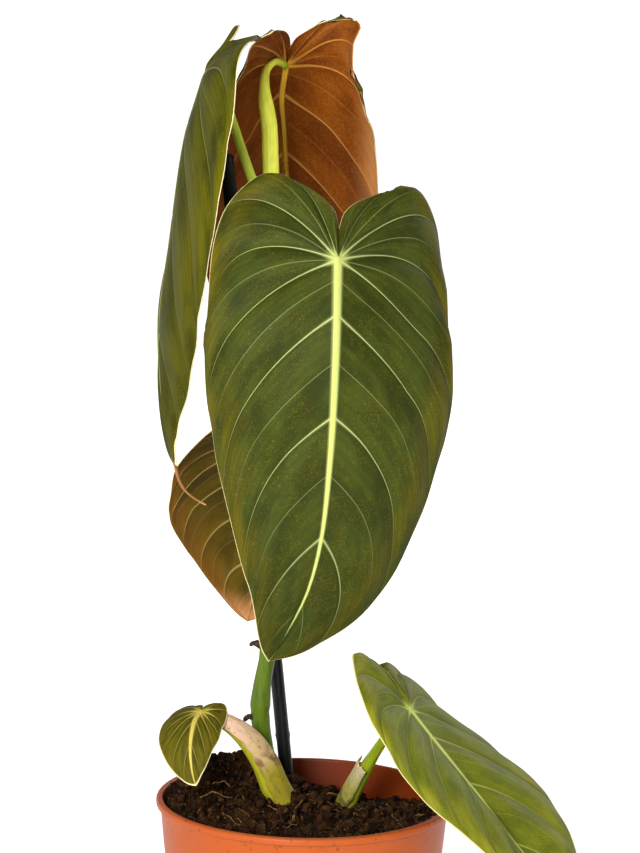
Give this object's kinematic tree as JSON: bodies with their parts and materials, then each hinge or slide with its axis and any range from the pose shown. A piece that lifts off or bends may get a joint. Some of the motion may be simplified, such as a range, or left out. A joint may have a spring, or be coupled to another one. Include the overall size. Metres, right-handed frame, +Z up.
{
  "type": "potted climbing philodendron",
  "caption": "Climbing philodendron with drooping velvety heart-shaped leaves, tied to a support stake in a terracotta-coloured plastic nursery pot.",
  "frame": {"origin": "centre of the pot's underside, on the surface that the pot stands on", "axes": "+Z up, -Y towards the plant's front, where the largest leaf hangs, and +X to the right of it, where the long low leaf leans out"},
  "size_m": [0.1713, 0.1431, 0.4194],
  "materials": {
    "pot_plastic": "satin",
    "soil": "matte",
    "stake_plastic": "satin",
    "tie_plastic": "satin",
    "stem": "satin",
    "dry_root": "matte",
    "velvet_leaf": "satin",
    "copper_leaf": "satin",
    "petiole": "satin",
    "papery_sheath": "matte"
  },
  "bodies": {
    "root": {"nursery_pot": "pot_plastic", "potting_soil": "soil", "support_stake": "stake_plastic", "plant_tie_1": "tie_plastic", "plant_tie_2": "tie_plastic", "climbing_stem": "stem", "upper_root_stub": "dry_root", "lower_root_stub": "dry_root", "front_leaf_blade": "velvet_leaf", "front_leaf_petiole": "petiole", "rear_leaf_blade": "copper_leaf", "rear_leaf_petiole": "petiole", "left_leaf_blade": "velvet_leaf", "left_leaf_petiole": "petiole", "lower_leaf_blade": "copper_leaf", "lower_leaf_petiole": "petiole", "small_leaf_blade": "velvet_leaf", "small_leaf_petiole": "petiole", "right_leaf_blade": "velvet_leaf", "right_leaf_petiole": "petiole", "small_shoot_sheath": "papery_sheath", "right_shoot_sheath": "papery_sheath", "top_sheath": "papery_sheath"}
  },
  "joints": []
}
